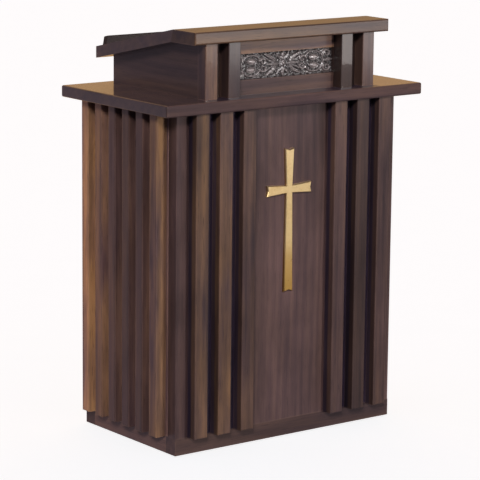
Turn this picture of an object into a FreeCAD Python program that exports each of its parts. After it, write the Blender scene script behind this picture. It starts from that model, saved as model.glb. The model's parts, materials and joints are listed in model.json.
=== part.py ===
import FreeCAD, Part
import math
import os
import re
import Sketcher

# Pulpit lectern: an open-backed cabinet with vertical fins, a wide deck, and a raised reading desk.
# The frame: origin on the floor under the middle of the deck, +Z up, the congregation's side is -Y.
# Every length is in millimetres.

DIMS = [
    # (alias, value, what it is)
    ("deck_width", 900, "deck, side to side"),
    ("deck_depth", 515, "deck, front to back"),
    ("deck_thickness", 33, "deck board"),
    ("deck_top", 990, "height of the deck's upper face"),
    ("deck_round", 5, "rounded edges of the deck"),
    ("glide_height", 3, "gap that the glides leave under the plinth"),
    ("glide_radius", 14, "nylon glide, disc"),
    ("stem_radius", 4, "nylon glide, stem"),
    ("stem_length", 20, "nylon glide, stem"),
    ("plinth_top", 51, "height of the plinth's upper face"),
    ("plinth_board", 45, "thickness of the plinth boards"),
    ("body_width", 770, "cabinet, side to side over the panels"),
    ("body_front", -212, "outer face of the front panel"),
    ("body_back", 230, "rear edge of the side panels"),
    ("front_board", 38, "thickness of the front panel"),
    ("side_board", 28, "thickness of the side panels"),
    ("floor_board", 22, "thickness of the bottom board"),
    ("joint_chamfer", 1.5, "chamfer beside the joint of front and side panels"),
    ("shelf_board", 22, "thickness of the inner shelf"),
    ("shelf_height", 495, "height of the shelf's lower face"),
    ("shelf_gap", 1.5, "clearance at each end of the shelf"),
    ("shelf_setback", 26, "shelf edge behind the rear edge of the side panels"),
    ("pin_radius", 3, "shelf pin"),
    ("pin_length", 22, "shelf pin, end to end"),
    ("pin_depth", 12, "shelf pin, depth in the panel"),
    ("pin_step", 64, "spacing of the rows of pin holes"),
    ("pin_inset", 60, "pin holes from the shelf's front and rear edges"),
    ("rail_height", 50, "rear top rail"),
    ("rail_board", 22, "rear top rail, thickness"),
    ("cleat_side", 30, "square cleats under the deck"),
    ("fin_depth", 35, "how far a fin stands out from its panel"),
    ("fin_round", 3.5, "rounded outer edges of the fins"),
    ("front_fin_width", 44.5, "front fins, across"),
    ("front_fin_pitch", 80.2, "front fins, centre to centre"),
    ("front_fin_reach", 344, "outermost front fin's far side, from the middle"),
    ("side_fin_width", 34, "side fins, along the panel"),
    ("side_fin_pitch", 66.5, "side fins, centre to centre"),
    ("side_fin_start", 45, "first side fin behind the front panel's face"),
    ("riser_half", 297.5, "riser's outer face from the middle"),
    ("riser_front", -222, "outer face of the riser battens"),
    ("riser_back", 219, "rear edge of the riser panels"),
    ("batten_width", 42, "riser battens, across"),
    ("batten_pitch", 78, "riser battens, centre to centre"),
    ("riser_board", 22, "riser side panels"),
    ("riser_face_board", 20, "riser front board"),
    ("window_half", 177, "grille window, half width"),
    ("window_low", 1031, "grille window, lower edge"),
    ("window_high", 1103, "grille window, upper edge"),
    ("grille_plate", 7, "ground of the carving"),
    ("relief_height", 11, "carved leaves and bowls above the ground"),
    ("relief_sink", 1, "how far the carving's base lies inside the ground"),
    ("ring_radius", 28.5, "large scroll of the carving"),
    ("ring_tube", 5, "large scroll, half its roll's breadth"),
    ("curl_radius", 11, "small scrolls of the carving"),
    ("curl_tube", 4, "small scrolls, half their roll's breadth"),
    ("bowl_long", 19, "bowls inside the large scrolls, half length"),
    ("bowl_short", 9, "bowls inside the large scrolls, half breadth"),
    ("leaf_long", 21, "leaves of the carving, half length"),
    ("leaf_short", 6, "leaves of the carving, half breadth"),
    ("rosette_radius", 11, "boss in the middle of the carving"),
    ("backing_board", 8, "board behind the grille"),
    ("backing_margin", 20, "backing board around the window"),
    ("desk_half", 341.5, "desk, half width"),
    ("desk_front", -233, "front edge of the desk"),
    ("desk_bend", -131, "ridge where the desk starts to fall"),
    ("desk_back", 246, "rear edge of the desk"),
    ("desk_top", 1177, "height of the desk's level part"),
    ("desk_thickness", 35, "level part of the desk"),
    ("desk_fall", 83, "fall from the ridge to the rear edge"),
    ("reading_thickness", 33, "reading board, measured upright"),
    ("desk_round", 5, "rounded edges of the desk"),
    ("desk_cleat", 22, "cleats under the desk"),
    ("cleat_front", -116, "front end of the sloping cleats"),
    ("cleat_back", 214, "rear end of the sloping cleats"),
    ("lip_half", 322, "book stop, half length at its base"),
    ("lip_end_slope", 9, "how much each end leans in"),
    ("lip_height", 26, "book stop, above the board"),
    ("lip_thickness", 20, "book stop"),
    ("lip_setback", 3, "book stop from the rear edge"),
    ("lip_round", 3, "rounded edges of the book stop"),
    ("cross_low", 424, "lower end of the cross"),
    ("cross_high", 833, "upper end of the cross"),
    ("cross_arm", 717, "height of the arms' middle"),
    ("cross_reach", 79, "arm's end from the middle"),
    ("cross_waist", 11, "half breadth of the arms at the crossing"),
    ("cross_flare", 15.5, "half breadth of the arms at their ends"),
    ("cross_notch", 4, "depth of the notch in each end"),
    ("cross_plate", 8, "thickness of the cross"),
    ("cross_bevel", 2, "bevel round the cross"),
    ("stud_radius", 3, "stud behind the cross"),
    ("stud_length", 20, "stud behind the cross"),
    ("dowel_radius", 5, "dowels of the cabinet's corners"),
    ("dowel_length", 50, "dowels of the cabinet's corners"),
    ("dowel_front", 20, "dowel's depth in the front panel"),
    ("screw_radius", 2, "shank of the wood screws"),
    ("screw_head", 4, "radius of a screw's countersunk head"),
    ("head_height", 3, "depth of a screw's head"),
    ("base_screw", 44, "screws of the bottom board"),
    ("deck_screw", 46, "screws from the cleats into the deck"),
    ("riser_screw", 70, "screws from the deck into the riser panels"),
    ("ledge_screw", 38, "screws from the front cleat into the desk"),
]

FRONT_FINS_PER_SIDE = 3
SIDE_FINS = 6
RISER_BATTENS_PER_SIDE = 2
PIN_ROWS = 5
ALIAS = re.compile(r"[a-z]+(?:_[a-z]+)+")

doc = FreeCAD.newDocument("pulpit_lectern")
sub_parts = []


def make_sheet():
    sheet = doc.addObject("Spreadsheet::Sheet", "Dims")
    for row, (alias, value, note) in enumerate(DIMS, 1):
        sheet.set("A%d" % row, note)
        sheet.set("B%d" % row, str(value))
        sheet.setAlias("B%d" % row, alias)
    doc.recompute()


def bind(item, prop, text):
    """Ties a property to an expression in which every sheet alias is written bare."""
    item.setExpression(prop, ALIAS.sub(lambda found: "Dims." + found.group(0), text))


def place(item, x, y, z):
    for axis, text in zip("xyz", (x, y, z)):
        bind(item, "Placement.Base." + axis, text)


def keep(item, label):
    """Marks a finished object as a sub-part; its label names its file."""
    item.Label = label
    sub_parts.append(item)
    return item


# ---------------------------------------------------------------- bodies and their features

def new_body(name, x="0", y="0", z="0"):
    body = doc.addObject("PartDesign::Body", name)
    place(body, x, y, z)
    return keep(body, name)


def board(name, corner, size):
    """A rectangular board: its lowest corner, then its size along X, Y and Z."""
    body = new_body(name, *corner)
    blank = body.newObject("PartDesign::AdditiveBox", name + "_blank")
    for prop, text in zip(("Length", "Width", "Height"), size):
        bind(blank, prop, text)
    return body


def origin_plane(body, role):
    return next(item for item in body.Origin.OriginFeatures if item.Role == role)


def outline(body, name, plane, corners):
    """A closed sketch of straight lines whose corners are pairs of expressions."""
    sketch = body.newObject("Sketcher::SketchObject", name)
    sketch.AttachmentSupport = (origin_plane(body, plane), [""])
    sketch.MapMode = "FlatFace"
    count = len(corners)
    turn = 2 * math.pi / count
    start = [FreeCAD.Vector(math.cos(turn * i), -math.sin(turn * i), 0) for i in range(count)]
    for i in range(count):
        sketch.addGeometry(Part.LineSegment(start[i], start[(i + 1) % count]))
    for i in range(count):
        sketch.addConstraint(Sketcher.Constraint("Coincident", i, 2, (i + 1) % count, 1))
    for i, corner in enumerate(corners):
        for kind, value, text in zip(("DistanceX", "DistanceY"), start[i], corner):
            number = sketch.addConstraint(Sketcher.Constraint(kind, -1, 1, i, 1, value))
            sketch.renameConstraint(number, "corner_%d_%s" % (i, kind[-1].lower()))
            bind(sketch, "Constraints[%d]" % number, text)
    return sketch


def pad(body, sketch, length, both_ways=False):
    item = body.newObject("PartDesign::Pad", sketch.Name + "_pad")
    item.Profile = sketch
    item.Midplane = both_ways
    bind(item, "Length", length)
    return item


def dress(body, kind, prop, size, chosen):
    """Rounds or bevels the edges of the body's present shape that chosen() accepts."""
    doc.recompute()
    base = body.Tip
    names = ["Edge%d" % n for n, edge in enumerate(base.Shape.Edges, 1) if chosen(edge, base.Shape)]
    item = body.newObject(kind, base.Name + "_edges")
    item.Base = (base, names)
    bind(item, prop, size)
    return item


def round_edges(body, size, chosen):
    return dress(body, "PartDesign::Fillet", "Radius", size, chosen)


def bevel_edges(body, size, chosen):
    return dress(body, "PartDesign::Chamfer", "Size", size, chosen)


def on_side(edge, shape, side):
    """True for an edge that lies in the shape's outermost plane on that side, such as XMin."""
    axis = side[0].lower()
    limit = getattr(shape.BoundBox, side)
    return all(abs(getattr(vertex.Point, axis) - limit) < 1e-4 for vertex in edge.Vertexes)


def bore(body, name, radius, depth, x, y, z, turn=None):
    """A round hole from x, y, z in the body's own frame; turn is an axis and an angle from +Z."""
    hole = body.newObject("PartDesign::SubtractiveCylinder", name)
    bind(hole, "Radius", radius)
    bind(hole, "Height", depth)
    if turn:
        hole.Placement = FreeCAD.Placement(FreeCAD.Vector(), FreeCAD.Rotation(*turn))
    place(hole, x, y, z)
    return hole


def head_seat(body, name, x, y, z, upwards):
    """The countersink of a screw whose head faces down when upwards, and up otherwise."""
    seat = body.newObject("PartDesign::SubtractiveCone", name)
    bind(seat, "Radius1", "screw_head" if upwards else "screw_radius")
    bind(seat, "Radius2", "screw_radius" if upwards else "screw_head")
    bind(seat, "Height", "head_height")
    place(seat, x, y, z if upwards else z + " - head_height")
    return seat


# ---------------------------------------------------------------- loose hardware

ALONG_X = (FreeCAD.Vector(0, 1, 0), 90)
ALONG_Y = (FreeCAD.Vector(1, 0, 0), -90)


def rod(name, radius, length, x, y, z, turn=None):
    item = doc.addObject("Part::Cylinder", name)
    bind(item, "Radius", radius)
    bind(item, "Height", length)
    if turn:
        item.Placement = FreeCAD.Placement(FreeCAD.Vector(), FreeCAD.Rotation(*turn))
    place(item, x, y, z)
    return item


def group(name, members):
    item = doc.addObject("Part::Compound", name)
    item.Links = members
    return keep(item, name)


def wood_screw(name, length, x, y, z, upwards):
    """A countersunk screw whose head face is at z and whose tip points up or down."""
    shank = rod(name + "_shank", "screw_radius", length, x, y, z if upwards else z + " - " + length)
    head = doc.addObject("Part::Cone", name + "_head")
    bind(head, "Radius1", "screw_head" if upwards else "screw_radius")
    bind(head, "Radius2", "screw_radius" if upwards else "screw_head")
    bind(head, "Height", "head_height")
    place(head, x, y, z if upwards else z + " - head_height")
    screw = doc.addObject("Part::Fuse", name)
    screw.Base = head
    screw.Tool = shank
    return screw


# ---------------------------------------------------------------- plinth

SCREW_ROWS = ("body_front*0.7", "0", "body_back*0.7")
BASE_SCREW_XS = ("-body_width/2 + plinth_board*0.8", "body_width/2 - plinth_board*0.8")
GLIDE_XS = ("-body_width/2 + plinth_board/2", "body_width/2 - plinth_board/2")
GLIDE_YS = ("body_front + plinth_board/2", "body_back - plinth_board/2")


def make_plinth():
    height = "plinth_top - glide_height"
    ends = (("plinth_front", "body_front"), ("plinth_rear", "body_back - plinth_board"))
    for (name, y), glide_y in zip(ends, GLIDE_YS):
        body = board(name, ("-body_width/2", y, "glide_height"), ("body_width", "plinth_board", height))
        for side, x in zip(("left", "right"), GLIDE_XS):
            local_x = "(%s) + body_width/2" % x
            local_y = "(%s) - (%s)" % (glide_y, y)
            bore(body, name + "_stem_hole_" + side, "stem_radius", "stem_length", local_x, local_y, "0")
    length = "body_back - body_front - 2*plinth_board"
    flanks = (("plinth_left", "-body_width/2"), ("plinth_right", "body_width/2 - plinth_board"))
    for (name, x), screw_x in zip(flanks, BASE_SCREW_XS):
        body = board(name, (x, "body_front + plinth_board", "glide_height"),
                     ("plinth_board", length, height))
        for number, screw_y in enumerate(SCREW_ROWS, 1):
            bore(body, "%s_pilot_%d" % (name, number), "screw_radius", "base_screw - floor_board",
                 "(%s) - (%s)" % (screw_x, x), "(%s) - body_front - plinth_board" % screw_y,
                 "plinth_top - glide_height - (base_screw - floor_board)")


def make_glides():
    """Four nylon discs, each on a stem that is driven into the plinth."""
    glides = []
    for number, (x, y) in enumerate([(x, y) for x in GLIDE_XS for y in GLIDE_YS], 1):
        disc = rod("glide_disc_%d" % number, "glide_radius", "glide_height", x, y, "0")
        stem = rod("glide_stem_%d" % number, "stem_radius", "stem_length", x, y, "glide_height")
        glide = doc.addObject("Part::Fuse", "glide_%d" % number)
        glide.Base = disc
        glide.Tool = stem
        glides.append(glide)
    group("glides", glides)


# ---------------------------------------------------------------- cabinet

PANEL_HEIGHT = "deck_top - deck_thickness - plinth_top"
INNER_HALF = "body_width/2 - side_board"
DOWEL_ZS = ["(%s)*%g" % (PANEL_HEIGHT, part) for part in (0.125, 0.375, 0.625, 0.875)]
PIN_YS = ("body_front + front_board + pin_inset", "body_back - shelf_setback - pin_inset")
PIN_HEIGHT = "shelf_height - pin_radius"


def make_side_panel(name, x, inner_face, dowel_x):
    """A side panel with blind dowel holes in its front edge and rows of pin holes inside."""
    depth = "body_back - body_front - front_board"
    corner = (x, "body_front + front_board", "plinth_top")
    body = board(name, corner, ("side_board", depth, PANEL_HEIGHT))
    outer = "XMin" if inner_face != "0" else "XMax"
    bevel_edges(body, "joint_chamfer", lambda edge, shape: on_side(edge, shape, outer) and (
        on_side(edge, shape, "YMin") or on_side(edge, shape, "YMax")))
    for number, z in enumerate(DOWEL_ZS, 1):
        bore(body, "%s_dowel_hole_%d" % (name, number), "dowel_radius", "dowel_length - dowel_front",
             dowel_x, "0", z, ALONG_Y)
    for column, y in enumerate(PIN_YS, 1):
        for row in range(PIN_ROWS):
            z = "%s - plinth_top + %d*pin_step" % (PIN_HEIGHT, row - PIN_ROWS // 2)
            bore(body, "%s_pin_hole_%d_%d" % (name, column, row + 1), "pin_radius", "pin_depth",
                 inner_face, "%s - body_front - front_board" % y, z, ALONG_X)


def make_front_panel():
    body = board("front_panel", ("-body_width/2", "body_front", "plinth_top"),
                 ("body_width", "front_board", PANEL_HEIGHT))
    bevel_edges(body, "joint_chamfer", lambda edge, shape: not on_side(edge, shape, "ZMin")
                and not on_side(edge, shape, "ZMax")
                and (on_side(edge, shape, "XMin") or on_side(edge, shape, "XMax")))
    for side, x in (("left", "side_board/2"), ("right", "body_width - side_board/2")):
        for number, z in enumerate(DOWEL_ZS, 1):
            bore(body, "front_dowel_hole_%s_%d" % (side, number), "dowel_radius", "dowel_front",
                 x, "front_board - dowel_front", z, ALONG_Y)
    for number, z in enumerate(STUD_ZS, 1):
        bore(body, "stud_hole_%d" % number, "stud_radius", "stud_length", "body_width/2", "0",
             "%s - plinth_top" % z, ALONG_Y)


def make_cabinet():
    make_side_panel("left_side_panel", "-body_width/2", "side_board - pin_depth", "side_board/2")
    make_side_panel("right_side_panel", INNER_HALF, "0", "side_board/2")
    make_front_panel()
    dowels = []
    for side, x in (("left", "-body_width/2 + side_board/2"), ("right", "body_width/2 - side_board/2")):
        for number, z in enumerate(DOWEL_ZS, 1):
            dowels.append(rod("dowel_%s_%d" % (side, number), "dowel_radius", "dowel_length", x,
                              "body_front + front_board - dowel_front", z + " + plinth_top", ALONG_Y))
    group("corner_dowels", dowels)
    board("back_top_rail", ("-(%s)" % INNER_HALF, "body_back - rail_board",
                            "deck_top - deck_thickness - rail_height"),
          ("2*(%s)" % INNER_HALF, "rail_board", "rail_height"))


def make_bottom_board():
    depth = "body_back - body_front - front_board"
    body = board("bottom_board", ("-(%s)" % INNER_HALF, "body_front + front_board", "plinth_top"),
                 ("2*(%s)" % INNER_HALF, depth, "floor_board"))
    screws = []
    spots = [(x, y) for x in BASE_SCREW_XS for y in SCREW_ROWS]
    for number, (x, y) in enumerate(spots, 1):
        local_x = "(%s) + %s" % (x, INNER_HALF)
        local_y = "(%s) - body_front - front_board" % y
        bore(body, "floor_screw_hole_%d" % number, "screw_radius", "floor_board", local_x, local_y, "0")
        head_seat(body, "floor_screw_seat_%d" % number, local_x, local_y, "floor_board", False)
        screws.append(wood_screw("base_screw_%d" % number, "base_screw", x, y,
                                 "plinth_top + floor_board", False))
    group("base_screws", screws)


def make_shelf():
    width = "2*(%s) - 2*shelf_gap" % INNER_HALF
    depth = "body_back - shelf_setback - body_front - front_board - shelf_gap"
    body = board("inner_shelf", ("-(%s)/2" % width, "body_front + front_board + shelf_gap", "shelf_height"),
                 (width, depth, "shelf_board"))
    round_edges(body, "joint_chamfer", lambda edge, shape: on_side(edge, shape, "YMax") and (
        on_side(edge, shape, "ZMin") or on_side(edge, shape, "ZMax")))
    pins = []
    for side, x in (("left", "-(%s) - pin_depth" % INNER_HALF),
                    ("right", "%s + pin_depth - pin_length" % INNER_HALF)):
        for number, y in enumerate(PIN_YS, 1):
            pins.append(rod("pin_%s_%d" % (side, number), "pin_radius", "pin_length", x, y,
                            PIN_HEIGHT, ALONG_X))
    group("shelf_pins", pins)


# ---------------------------------------------------------------- fins

def make_upright(name, corner, size, outer):
    """A fin or batten, rounded on the free edges of its outer face and at its foot."""
    body = board(name, corner, size)
    round_edges(body, "fin_round",
                lambda edge, shape: on_side(edge, shape, outer) and not on_side(edge, shape, "ZMax"))


def make_front_fins():
    height = PANEL_HEIGHT
    width = "front_fin_width"
    for i in range(2 * FRONT_FINS_PER_SIDE):
        step = i % FRONT_FINS_PER_SIDE
        if i < FRONT_FINS_PER_SIDE:
            x = "-front_fin_reach + %d*front_fin_pitch" % step
        else:
            x = "front_fin_reach - front_fin_width - %d*front_fin_pitch" % (FRONT_FINS_PER_SIDE - 1 - step)
        make_upright("front_fin_%d" % (i + 1), (x, "body_front - fin_depth", "plinth_top"),
                     (width, "fin_depth", height), "YMin")


def make_side_fins():
    sides = (("left", "-body_width/2 - fin_depth", "XMin"), ("right", "body_width/2", "XMax"))
    for side, x, outer in sides:
        for i in range(SIDE_FINS):
            y = "body_front + side_fin_start + %d*side_fin_pitch" % i
            make_upright("%s_fin_%d" % (side, i + 1), (x, y, "plinth_top"),
                         ("fin_depth", "side_fin_width", PANEL_HEIGHT), outer)


# ---------------------------------------------------------------- deck

DECK_LOW = "deck_top - deck_thickness"
RISER_SCREW_XS = ("-riser_half + riser_board/2", "riser_half - riser_board/2")
DECK_SCREW_XS = ("-(%s) + cleat_side/2" % INNER_HALF, "%s - cleat_side/2" % INNER_HALF)
DECK_CLEAT_START = "body_front + front_board"
DECK_CLEAT_END = "body_back - rail_board"


def make_deck():
    body = board("deck", ("-deck_width/2", "-deck_depth/2", DECK_LOW),
                 ("deck_width", "deck_depth", "deck_thickness"))
    round_edges(body, "deck_round", lambda edge, shape: True)
    for number, (x, y) in enumerate([(x, y) for x in RISER_SCREW_XS for y in SCREW_ROWS], 1):
        local = ("(%s) + deck_width/2" % x, "%s + deck_depth/2" % y, "0")
        bore(body, "riser_screw_hole_%d" % number, "screw_radius", "deck_thickness", *local)
        head_seat(body, "riser_screw_seat_%d" % number, *local, True)
    for number, (x, y) in enumerate([(x, y) for x in DECK_SCREW_XS for y in SCREW_ROWS], 1):
        bore(body, "deck_pilot_%d" % number, "screw_radius", "deck_screw - cleat_side",
             "(%s) + deck_width/2" % x, "%s + deck_depth/2" % y, "0")


def make_deck_cleats():
    """Square cleats that hold the deck down on the side panels, and their screws."""
    screws = []
    corners = (("left", "-(%s)" % INNER_HALF), ("right", "%s - cleat_side" % INNER_HALF))
    for (side, x), screw_x in zip(corners, DECK_SCREW_XS):
        body = board("deck_cleat_" + side, (x, DECK_CLEAT_START, DECK_LOW + " - cleat_side"),
                     ("cleat_side", "%s - (%s)" % (DECK_CLEAT_END, DECK_CLEAT_START), "cleat_side"))
        for number, y in enumerate(SCREW_ROWS, 1):
            local = ("(%s) - (%s)" % (screw_x, x), "%s - (%s)" % (y, DECK_CLEAT_START), "0")
            bore(body, "cleat_hole_%s_%d" % (side, number), "screw_radius", "cleat_side", *local)
            head_seat(body, "cleat_seat_%s_%d" % (side, number), *local, True)
            screws.append(wood_screw("deck_screw_%s_%d" % (side, number), "deck_screw", screw_x, y,
                                     DECK_LOW + " - cleat_side", True))
    group("deck_screws", screws)


# ---------------------------------------------------------------- riser

LEDGE_LOW = "(desk_top - desk_thickness)"
SLOPE = "(desk_fall/(desk_back - desk_bend))"
LOW_BEND = "(desk_bend + (desk_thickness - reading_thickness)/%s)" % SLOPE
FACE_FRONT = "(riser_front + fin_depth)"


def under_desk(y):
    """Height of the reading board's lower face at y."""
    return "(%s - %s*((%s) - %s))" % (LEDGE_LOW, SLOPE, y, LOW_BEND)


def make_riser_panel(name, x, screw_x):
    """A side panel of the riser; its upper edge follows the desk."""
    body = new_body(name, x, "0", "0")
    corners = [(FACE_FRONT, "deck_top"), (FACE_FRONT, LEDGE_LOW), (LOW_BEND, LEDGE_LOW),
               ("riser_back", under_desk("riser_back")), ("riser_back", "deck_top")]
    pad(body, outline(body, name + "_outline", "YZ_Plane", corners), "riser_board")
    for number, y in enumerate(SCREW_ROWS, 1):
        bore(body, "%s_pilot_%d" % (name, number), "screw_radius", "riser_screw - deck_thickness",
             "(%s) - (%s)" % (screw_x, x), y, "deck_top")


def make_riser_face():
    """Stiles behind the battens, rails above and below the carving, and the board behind it."""
    stile = "riser_half - riser_board - window_half"
    height = LEDGE_LOW + " - deck_top"
    board("riser_left_stile", ("-riser_half + riser_board", FACE_FRONT, "deck_top"),
          (stile, "riser_face_board", height))
    board("riser_right_stile", ("window_half", FACE_FRONT, "deck_top"),
          (stile, "riser_face_board", height))
    board("riser_bottom_rail", ("-window_half", FACE_FRONT, "deck_top"),
          ("2*window_half", "riser_face_board", "window_low - deck_top"))
    board("riser_top_rail", ("-window_half", FACE_FRONT, "window_high"),
          ("2*window_half", "riser_face_board", LEDGE_LOW + " - window_high"))
    corner = ("-window_half - backing_margin", FACE_FRONT + " + riser_face_board",
              "window_low - backing_margin")
    board("grille_backing", corner, ("2*(window_half + backing_margin)", "backing_board",
                                     "window_high - window_low + backing_margin"))


def relief_turn(tilt):
    """Points a primitive's axis to the front and leans it by tilt degrees in the panel's plane."""
    return FreeCAD.Rotation(FreeCAD.Vector(0, 1, 0), -tilt) * FreeCAD.Rotation(FreeCAD.Vector(1, 0, 0), 90)


def carve_mound(body, name, x, z, long, short, tilt=0):
    """Half an ellipsoid on the ground of the carving: a leaf, a bowl or a boss."""
    mound = body.newObject("PartDesign::AdditiveEllipsoid", name)
    for prop, text in (("Radius1", "relief_height"), ("Radius2", long), ("Radius3", short)):
        bind(mound, prop, text)
    mound.Angle1 = 0
    mound.Placement = FreeCAD.Placement(FreeCAD.Vector(), relief_turn(tilt))
    place(mound, x, "relief_sink", z)


def carve_roll(body, name, x, z, radius, tube):
    """A ring-shaped scroll, half sunk in the ground of the carving."""
    roll = body.newObject("PartDesign::AdditiveTorus", name)
    bind(roll, "Radius1", radius)
    bind(roll, "Radius2", tube)
    roll.Placement = FreeCAD.Placement(FreeCAD.Vector(), relief_turn(0))
    place(roll, x, "0", z)


CARVED_MOUNDS = [
    # (name, across from the middle, up from the middle, half length, half breadth, tilt)
    ("bowl_top", 104, 11, "bowl_long", "bowl_short", 6),
    ("bowl_low", 106, -12, "bowl_long", "bowl_short", -6),
    ("leaf_top", 43, 19, "leaf_long", "leaf_short", 32),
    ("leaf_low", 42, -20, "leaf_long", "leaf_short", -28),
    ("leaf_inner", 34, 0, "leaf_long", "leaf_short", 0),
    ("leaf_outer", 156, 1, "leaf_long*0.8", "leaf_short*1.3", 12),
]
CARVED_ROLLS = [
    ("scroll", 105, 0, "ring_radius", "ring_tube"),
    ("curl_inner_top", 66, 9, "curl_radius", "curl_tube"),
    ("curl_inner_low", 63, -11, "curl_radius", "curl_tube"),
    ("curl_outer_top", 150, 19, "curl_radius", "curl_tube"),
    ("curl_outer_low", 151, -19, "curl_radius*1.1", "curl_tube"),
]


def make_grille():
    """A carved panel of scrolls, leaves and bowls that is the same left and right."""
    body = new_body("carved_grille", "0", FACE_FRONT + " + riser_face_board - grille_plate",
                    "(window_low + window_high)/2")
    ground = body.newObject("PartDesign::AdditiveBox", "carving_ground")
    bind(ground, "Length", "2*window_half")
    bind(ground, "Width", "grille_plate")
    bind(ground, "Height", "window_high - window_low")
    place(ground, "-window_half", "0", "(window_low - window_high)/2")
    for side, sign in (("left", -1), ("right", 1)):
        for name, x, z, long, short, tilt in CARVED_MOUNDS:
            carve_mound(body, name + "_" + side, str(sign * x), str(z), long, short, sign * tilt)
        for name, x, z, radius, tube in CARVED_ROLLS:
            carve_roll(body, name + "_" + side, str(sign * x), str(z), radius, tube)
    carve_mound(body, "rosette", "0", "0", "rosette_radius", "rosette_radius")
    for name, z in (("rosette_leaf_top", "19"), ("rosette_leaf_low", "-19")):
        carve_mound(body, name, "0", z, "leaf_long*0.75", "leaf_short", 90)


def make_riser_battens():
    reach = "riser_half"
    for i in range(2 * RISER_BATTENS_PER_SIDE):
        step = i % RISER_BATTENS_PER_SIDE
        if i < RISER_BATTENS_PER_SIDE:
            x = "-%s + %d*batten_pitch" % (reach, step)
        else:
            x = "%s - batten_width - %d*batten_pitch" % (reach, RISER_BATTENS_PER_SIDE - 1 - step)
        body = board("riser_batten_%d" % (i + 1), (x, "riser_front", "deck_top"),
                     ("batten_width", "fin_depth", LEDGE_LOW + " - deck_top"))
        round_edges(body, "fin_round", lambda edge, shape: on_side(edge, shape, "YMin")
                    and not on_side(edge, shape, "ZMin") and not on_side(edge, shape, "ZMax"))


def make_riser():
    make_riser_panel("riser_left_panel", "-riser_half", RISER_SCREW_XS[0])
    make_riser_panel("riser_right_panel", "riser_half - riser_board", RISER_SCREW_XS[1])
    make_riser_face()
    make_grille()
    make_riser_battens()
    screws = []
    for number, (x, y) in enumerate([(x, y) for x in RISER_SCREW_XS for y in SCREW_ROWS], 1):
        screws.append(wood_screw("riser_screw_%d" % number, "riser_screw", x, y, DECK_LOW, True))
    group("riser_screws", screws)


# ---------------------------------------------------------------- desk

LEDGE_CLEAT_HALF = "(riser_half - riser_board - desk_cleat)"
LEDGE_CLEAT_FRONT = "(%s + riser_face_board)" % FACE_FRONT
LEDGE_SCREW_XS = ["window_half*(%g)" % part for part in (-1.3, -0.45, 0.45, 1.3)]


def make_desk_ledge():
    body = new_body("desk_ledge")
    corners = [("desk_front", LEDGE_LOW), ("desk_front", "desk_top"), ("desk_bend", "desk_top"),
               (LOW_BEND, LEDGE_LOW)]
    pad(body, outline(body, "ledge_outline", "YZ_Plane", corners), "2*desk_half", True)
    round_edges(body, "desk_round", lambda edge, shape: on_side(edge, shape, "YMin"))
    for number, x in enumerate(LEDGE_SCREW_XS, 1):
        bore(body, "ledge_pilot_%d" % number, "screw_radius", "ledge_screw - desk_cleat", x,
             LEDGE_CLEAT_FRONT + " + desk_cleat/2", LEDGE_LOW)


def make_reading_board():
    body = new_body("reading_board")
    rear = "desk_top - desk_fall"
    corners = [(LOW_BEND, LEDGE_LOW), ("desk_bend", "desk_top"), ("desk_back", rear),
               ("desk_back", rear + " - reading_thickness")]
    pad(body, outline(body, "reading_outline", "YZ_Plane", corners), "2*desk_half", True)
    round_edges(body, "desk_round", lambda edge, shape: on_side(edge, shape, "YMax"))


def make_book_stop():
    """A bar along the reading board's low edge, square to the board, with leaning ends."""
    body = new_body("book_stop")
    corners = [("-lip_half", "0"), ("-lip_half + lip_end_slope", "lip_height"),
               ("lip_half - lip_end_slope", "lip_height"), ("lip_half", "0")]
    pad(body, outline(body, "stop_outline", "XZ_Plane", corners), "lip_thickness")
    round_edges(body, "lip_round", lambda edge, shape: on_side(edge, shape, "ZMax"))
    tilt = math.degrees(math.atan2(sheet_value("desk_fall"),
                                   sheet_value("desk_back") - sheet_value("desk_bend")))
    body.Placement = FreeCAD.Placement(FreeCAD.Vector(), FreeCAD.Rotation(FreeCAD.Vector(1, 0, 0), -tilt))
    run = "(desk_back - desk_round - lip_setback)"
    place(body, "0", run, "desk_top - %s*(%s - desk_bend)" % (SLOPE, run))


def sheet_value(alias):
    return float(doc.getObject("Dims").get(alias))


def make_desk_cleats():
    """A level cleat under the ledge, screwed up into it, and two glued cleats under the slope."""
    corner = ("-" + LEDGE_CLEAT_HALF, LEDGE_CLEAT_FRONT, LEDGE_LOW + " - desk_cleat")
    body = board("desk_cleat_front", corner, ("2*" + LEDGE_CLEAT_HALF, "desk_cleat", "desk_cleat"))
    screws = []
    for number, x in enumerate(LEDGE_SCREW_XS, 1):
        local = (x + " + " + LEDGE_CLEAT_HALF, "desk_cleat/2", "0")
        bore(body, "ledge_screw_hole_%d" % number, "screw_radius", "desk_cleat", *local)
        head_seat(body, "ledge_screw_seat_%d" % number, *local, True)
        screws.append(wood_screw("ledge_screw_%d" % number, "ledge_screw", x,
                                 LEDGE_CLEAT_FRONT + " + desk_cleat/2", LEDGE_LOW + " - desk_cleat", True))
    group("desk_screws", screws)
    flanks = (("left", "-riser_half + riser_board"), ("right", "riser_half - riser_board - desk_cleat"))
    for side, x in flanks:
        body = new_body("desk_cleat_" + side, x, "0", "0")
        ends = [("cleat_front", under_desk("cleat_front")), ("cleat_back", under_desk("cleat_back"))]
        low = [(y, z + " - desk_cleat") for y, z in reversed(ends)]
        sketch = outline(body, "desk_cleat_%s_outline" % side, "YZ_Plane", ends + low)
        pad(body, sketch, "desk_cleat")


# ---------------------------------------------------------------- cross

STUD_ZS = ("(cross_high - 60)", "(cross_low + 60)")


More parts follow.
